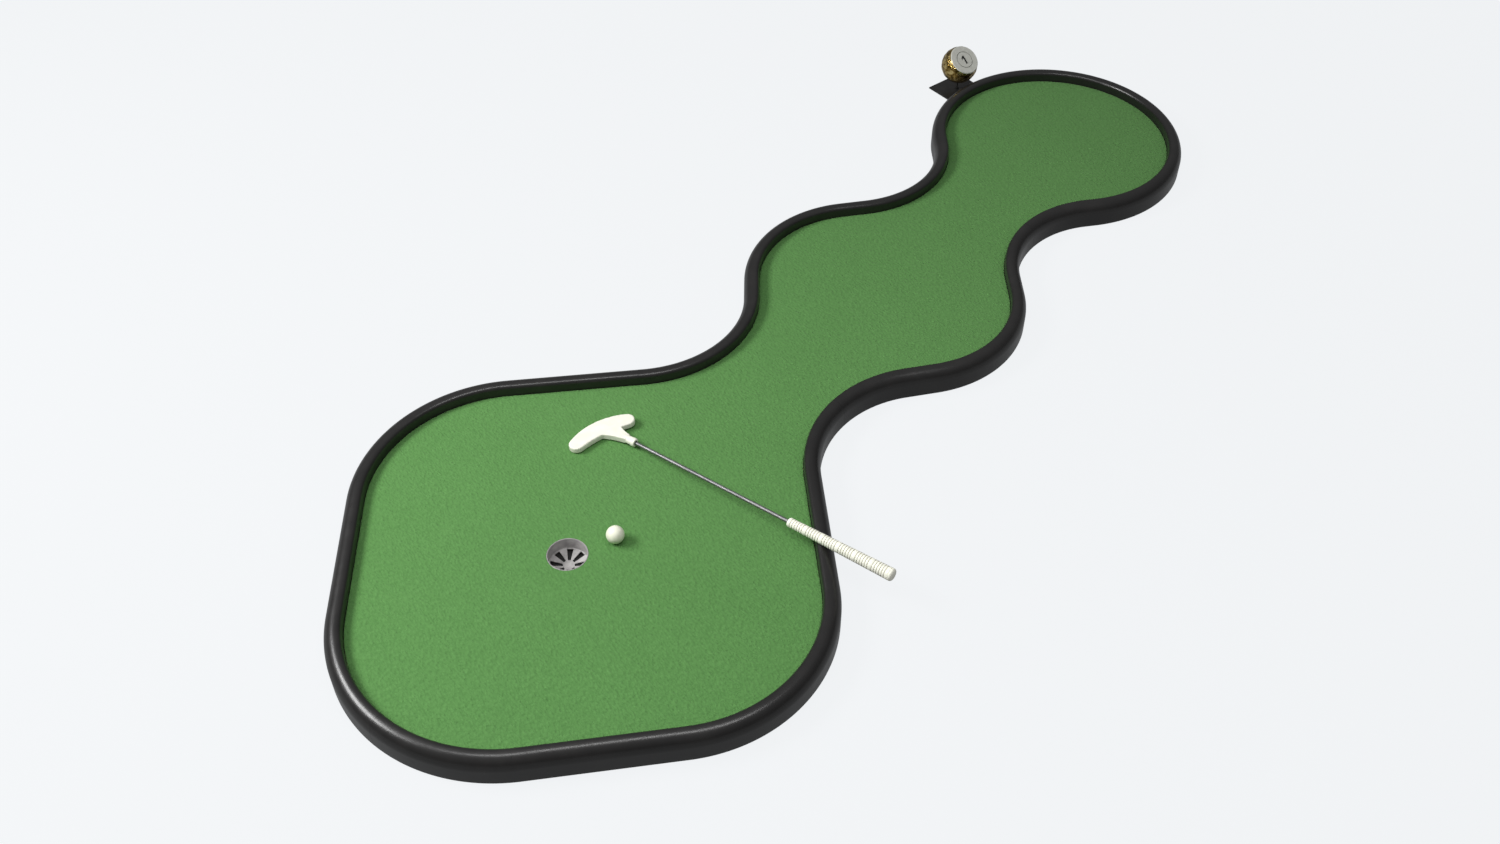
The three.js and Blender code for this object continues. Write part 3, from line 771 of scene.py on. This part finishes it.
def putter_head():
    """The blade, its flared root and the neck in one moulding, with the shaft's socket bored."""
    half = HEAD_THICK / 2
    blade = soften(prism(blade_outline(), -half, half), HEAD_EASE, 4)
    blade.transform(
        Matrix.Rotation(math.radians(BLADE_TURN), 4, "Z") @ Matrix.Translation((-BLADE_SHIFT, 0, 0))
    )
    flare = bent((-6, -34), (22, -16), (58, -9.5), 16) + bent((58, 9.5), (22, 12), (2, 36), 16)
    root = soften(prism(flare, -half, half), HEAD_EASE, 4)
    neck_profile = [(0, 14), (7.5, 14), (10.9, 82.3), (10.5, 83.2), (9.8, 83.5), (0, 83.5)]
    neck = along_x(lathe(neck_profile, 48))
    whole = bmesh.new()
    for part in (blade, root, neck):
        bmesh.ops.recalc_face_normals(part, faces=part.faces)
        shell = bpy.data.meshes.new("shell")
        part.to_mesh(shell)
        part.free()
        whole.from_mesh(shell)
        bpy.data.meshes.remove(shell)
    head = mesh_object("putter_blade", whole, BLADE_LOOK, sharp=180)
    melt = head.modifiers.new("melt", "REMESH")
    melt.mode = "VOXEL"
    melt.voxel_size = 1.25 * MM
    melt.use_smooth_shade = True
    ease = head.modifiers.new("ease", "SMOOTH")
    ease.factor = 0.5
    ease.iterations = 7
    settle(head)
    socket_r, mouth_r, mouth_from = SHAFT_R + GAP, 6.2, 79.5
    bore = [(0, SHAFT_FROM - 1), (socket_r, SHAFT_FROM - 1), (socket_r, mouth_from)]
    bore += [(mouth_r, mouth_from), (mouth_r, 86), (0, 86)]
    carve(head, along_x(lathe(bore, 48)), sharp=48)
    head.data.transform(Matrix.Scale(MM, 4) @ PUTTER_PLACE @ Matrix.Scale(1 / MM, 4))
    return head


def grip_profile():
    """The ribbed grip's profile, and the numbers of its spans that lie in a ring's groove."""
    groups, rings, pitch, plain = 6, 6, 6.6, 11.5
    cut_half, floor_half, cut_deep, lip_wide, lip_deep = 0.75, 0.5, 0.9, 0.5, 0.25
    bore = SHAFT_R + GAP
    group_long = (rings - 1) * pitch
    start = GRIP_FROM + (GRIP_TO - GRIP_FROM - groups * group_long - (groups - 1) * plain) / 2
    profile = [(bore, GRIP_FROM), (GRIP_FROM_R - 1.4, GRIP_FROM)]
    profile += [(GRIP_FROM_R - 0.4, GRIP_FROM + 0.4), (GRIP_FROM_R, GRIP_FROM + 1.4)]
    spans = set()
    for group in range(groups):
        for ring in range(rings):
            at = start + group * (group_long + plain) + ring * pitch
            rim = grip_radius(at)
            profile += [(rim, at - cut_half - lip_wide), (rim - lip_deep, at - cut_half)]
            spans.update(range(len(profile) - 1, len(profile) + 2))
            profile += [(rim - cut_deep, at - floor_half), (rim - cut_deep, at + floor_half)]
            profile += [(rim - lip_deep, at + cut_half), (rim, at + cut_half + lip_wide)]
    profile += [(GRIP_TO_R, GRIP_TO), (bore, GRIP_TO)]
    return profile, spans


def putter_cap():
    """The grip's end cap: a plug and a flattened dome."""
    first, dome, steps, flatness = GRIP_TO + GAP, GRIP_TO + GAP + 2, 12, 0.45
    profile = [(0, CAP_FROM), (SHAFT_R, CAP_FROM), (SHAFT_R, first)]
    profile += [(GRIP_TO_R - 0.5, first), (GRIP_TO_R, first + 0.5)]
    for k in range(steps + 1):
        a = math.pi / 2 * k / steps
        r = GRIP_TO_R * max(math.cos(a), 0) ** flatness
        profile.append((r, dome + (CAP_TO - dome) * math.sin(a)))
    return along_x(lathe(profile, 64))


belongs(putter_head(), "putter", "putter_head")

tip_r, taper_from, taper_to, chamfer = 4.4, 90, 538, 0.5
shaft_profile = [(0, SHAFT_FROM), (tip_r - chamfer, SHAFT_FROM), (tip_r, SHAFT_FROM + chamfer)]
shaft_profile += [(tip_r, taper_from), (SHAFT_R, taper_to), (SHAFT_R, SHAFT_TO - chamfer)]
shaft_profile += [(SHAFT_R - chamfer, SHAFT_TO), (0, SHAFT_TO)]
shaft_bm = along_x(lathe(shaft_profile, 40))
shaft = mesh_object("putter_tube", shaft_bm, SHAFT_LOOK, place=PUTTER_PLACE)
belongs(shaft, "putter", "putter_shaft")

grip_bm = along_x(lathe(grip_profile()[0], 56, grooves=grip_profile()[1]))
# The groove spans take the darker look: painted shade in the grooves.
grip_looks = [GRIP_LOOK, GRIP_GROOVE_SHADE_LOOK]
grip = mesh_object("putter_ribbed_grip", grip_bm, grip_looks, sharp=50, place=PUTTER_PLACE)
belongs(grip, "putter", "putter_grip")

cap = mesh_object("putter_butt_cap", putter_cap(), GRIP_LOOK, sharp=50, place=PUTTER_PLACE)
belongs(cap, "putter", "putter_grip_cap")


# ---------------------------------------------------------------- hole marker

MARKER_AT, MARKER_TURN, FACE_TILT = (1276.6, 425.4, 0), -12.6, 35
MARKER_PLACE = Matrix.Translation(MARKER_AT) @ Matrix.Rotation(math.radians(MARKER_TURN), 4, "Z")
FACE_PLACE = (
    MARKER_PLACE
    @ Matrix.Translation((0, 0, MARKER_Z))
    @ Matrix.Rotation(math.radians(FACE_TILT), 4, "X")
)
FACE_AT, FACE_THICK = 34.5, 2.5
RING_R, RING_HALF, RING_FLOOR_HALF, RING_DEEP = 27.3, 1.3, 0.7, 0.9
PLATE_WIDE, PLATE_LONG, PLATE_THICK = 134, 120, 4
NUT_R, NUT_HIGH = 6, 4
STEM_R, STEM_IN_BALL = 2.5, 13
DENTS, DENT_WANDER, DENT_SEED, DENT_SPREAD, DENT_DEEP = 170, 0.09, 4, 0.23, 1.5


def marker_ball():
    """A hammered ball with a flat sawn across it for the face."""
    dents = around_sphere(DENTS, DENT_WANDER, DENT_SEED)
    bm = dented_sphere(MARKER_R, dents, DENT_SPREAD, DENT_DEEP)
    flat = (0, 0, FACE_AT - FACE_THICK - GAP)
    every = list(bm.verts) + list(bm.edges) + list(bm.faces)
    bmesh.ops.bisect_plane(bm, geom=every, plane_co=flat, plane_no=(0, 0, 1), clear_outer=True)
    rim = [e for e in bm.edges if e.is_boundary]
    bmesh.ops.contextual_create(bm, geom=rim)
    made = mesh_object("marker_hammered_ball", bm, GOLD_LOOK, sharp=60, place=FACE_PLACE)
    under = MARKER_Z - MARKER_R
    bore = pin(STEM_R + GAP, under - 2, under + STEM_IN_BALL + GAP, 24)
    bore.transform(MARKER_PLACE)
    return carve(made, bore, sharp=60)


def marker_face():
    """The face plate, with a fine ring sunk into it, whose groove is coloured darker as painted
    shade.
    """
    low, floor = FACE_AT - FACE_THICK, FACE_AT - RING_DEEP
    low_r, top_r = math.sqrt(MARKER_R**2 - low**2) - 0.2, math.sqrt(MARKER_R**2 - FACE_AT**2)
    profile = [(0, low), (low_r, low), (top_r + 0.2, FACE_AT - 0.6), (top_r - 0.4, FACE_AT)]
    ring = range(len(profile), len(profile) + 3)
    profile += [(RING_R + RING_HALF, FACE_AT), (RING_R + RING_FLOOR_HALF, floor)]
    profile += [(RING_R - RING_FLOOR_HALF, floor), (RING_R - RING_HALF, FACE_AT), (0, FACE_AT)]
    return lathe(profile, 128, grooves=ring)


def marker_digit():
    """A plain numeral 1: an upright and its flag."""
    top, half, wide, thick = 14, 2.5, 5, 0.8
    flag, low = 2 * wide, FACE_AT + GAP / 2
    outline = [(-half, -top), (half, -top), (half, top), (-half, top)]
    outline += [(-flag, top - flag + half), (-flag, top - flag - half), (-half, top - wide)]
    return soften(prism(outline, low, low + thick), 0.2, 2)


def marker_plate():
    x, y = PLATE_WIDE / 2, PLATE_LONG / 2
    return soften(prism([(-x, -y), (x, -y), (x, y), (-x, y)], 0, PLATE_THICK), 0.8, 3)


def hex_nut():
    outline = arc(0, 0, NUT_R, NUT_R, 0, 360, 6)[:-1]
    low = PLATE_THICK + GAP
    return soften(prism(outline, low, low + NUT_HIGH), 0.4, 2)


belongs(marker_ball(), "marker", "marker_ball")
# The ring's groove takes the darker look: painted shade.
face_looks = [FACE_LOOK, FACE_RING_SHADE_LOOK]
face = mesh_object("marker_disc", marker_face(), face_looks, place=FACE_PLACE)
belongs(face, "marker", "marker_face")
digit = mesh_object("marker_numeral_1", marker_digit(), DIGIT_AND_LINER_SHADE_LOOK, place=FACE_PLACE)
belongs(digit, "marker", "marker_digit_1")

plate = mesh_object("marker_plate", marker_plate(), PAINT_LOOK, place=MARKER_PLACE)
nut = mesh_object("marker_hex_nut", hex_nut(), PAINT_LOOK, place=MARKER_PLACE)
for holed in (plate, nut):
    drill = pin(STEM_R + GAP, -2, 12, 24)
    drill.transform(MARKER_PLACE)
    carve(holed, drill)
belongs(plate, "marker", "marker_base_plate")
belongs(nut, "marker", "marker_stem_nut")

stem_low, stem_top, chamfer = 1, MARKER_Z - MARKER_R + STEM_IN_BALL, 0.4
stem_profile = [(0, stem_low), (STEM_R - chamfer, stem_low), (STEM_R, stem_low + chamfer)]
stem_profile += [(STEM_R, stem_top - chamfer), (STEM_R - chamfer, stem_top), (0, stem_top)]
stem = mesh_object("marker_rod", lathe(stem_profile, 32), PAINT_LOOK, place=MARKER_PLACE)
belongs(stem, "marker", "marker_stem")


# ---------------------------------------------------------------- CAD pieces that stay

def finish_of(name):
    """The material of a CAD node that is carried over: screws, dowels and joint plates are zinc."""
    if name.startswith("deck_panel"):
        return PLY_LOOK
    if name.startswith("foot"):
        return FOOT_LOOK
    # The cup's liner is a black disc under the slots that stands in for the shade below the lane:
    # painted shade.
    if name == "cup_liner":
        return DIGIT_AND_LINER_SHADE_LOOK
    return ZINC_LOOK


for name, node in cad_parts.items():
    if not node.hide_render:
        node.data.materials.clear()
        node.data.materials.append(finish_of(name))


# ---------------------------------------------------------------- camera, floor and light

CAMERA_AT, CAMERA_TARGET = (-2.3335, -1.6346, 2.5925), (-0.3289, -0.0118, 0)
FLOOR_SIZE = 40


def aim_at(obj, at, target):
    """Puts a camera or light at a point, in metres, looking at another."""
    obj.location = at
    obj.rotation_euler = (Vector(target) - Vector(at)).to_track_quat("-Z", "Y").to_euler()


camera_data = bpy.data.cameras.new("camera")
camera_data.lens = 35
camera_data.sensor_width = 36
camera_data.clip_end = 60
camera = bpy.data.objects.new("camera", camera_data)
bpy.context.scene.collection.objects.link(camera)
bpy.context.scene.camera = camera
aim_at(camera, CAMERA_AT, CAMERA_TARGET)
bpy.context.scene.view_settings.view_transform = "Standard"

floor_bm = bmesh.new()
bmesh.ops.create_grid(floor_bm, x_segments=8, y_segments=8, size=FLOOR_SIZE / 2 / MM)
floor_look = Look(
    "pale floor", Roughness=0.9, Specular_IOR_Level=0.0,
    Base_Color=(0.04, 0.04, 0.04, 1), Emission_Color=(0.961, 0.981, 1.0, 1),
)
floor_seen = floor_look.node("LightPath").outputs["Is Camera Ray"]
floor_look.to("Emission Strength", floor_look.spread(floor_seen, 0, 1, 0.32, 0.88))
floor = mesh_object("floor", floor_bm, floor_look.material)


def softbox(name, at, target, size, power):
    data = bpy.data.lights.new(name, "AREA")
    data.shape = "RECTANGLE"
    data.size, data.size_y = size
    data.energy = power
    made = bpy.data.objects.new(name, data)
    bpy.context.scene.collection.objects.link(made)
    aim_at(made, at, target)


softbox("key", at=(-2.5, 2.5, 2.9), target=(-0.6, 0, 0), size=(2.0, 1.2), power=165)
softbox("overhead", at=(-1.2, -0.5, 3.4), target=(-0.8, -0.2, 0), size=(2.8, 0.45), power=48)

world = bpy.data.worlds.new("studio")
world.use_nodes = True
bpy.context.scene.world = world
sky = world.node_tree
background = sky.nodes["Background"]
background.inputs["Strength"].default_value = 1.0
direction = sky.nodes.new("ShaderNodeTexCoord").outputs["Generated"]
split = sky.nodes.new("ShaderNodeSeparateXYZ")
sky.links.new(direction, split.inputs["Vector"])
fade = sky.nodes.new("ShaderNodeValToRGB")
fade.color_ramp.elements[0].position = 0.05
fade.color_ramp.elements[0].color = (0.10, 0.10, 0.10, 1)
fade.color_ramp.elements[1].position = 0.9
fade.color_ramp.elements[1].color = (0.38, 0.38, 0.39, 1)
sky.links.new(split.outputs["Z"], fade.inputs["Fac"])
seen = sky.nodes.new("ShaderNodeLightPath").outputs["Is Camera Ray"]
mixed = sky.nodes.new("ShaderNodeMix")
mixed.data_type = "RGBA"
sky.links.new(seen, mixed.inputs[MIX_FACTOR])
sky.links.new(fade.outputs["Color"], mixed.inputs[MIX_A])
mixed.inputs[MIX_B].default_value = (0.885, 0.905, 0.925, 1)
sky.links.new(mixed.outputs[MIX_RESULT], background.inputs["Color"])
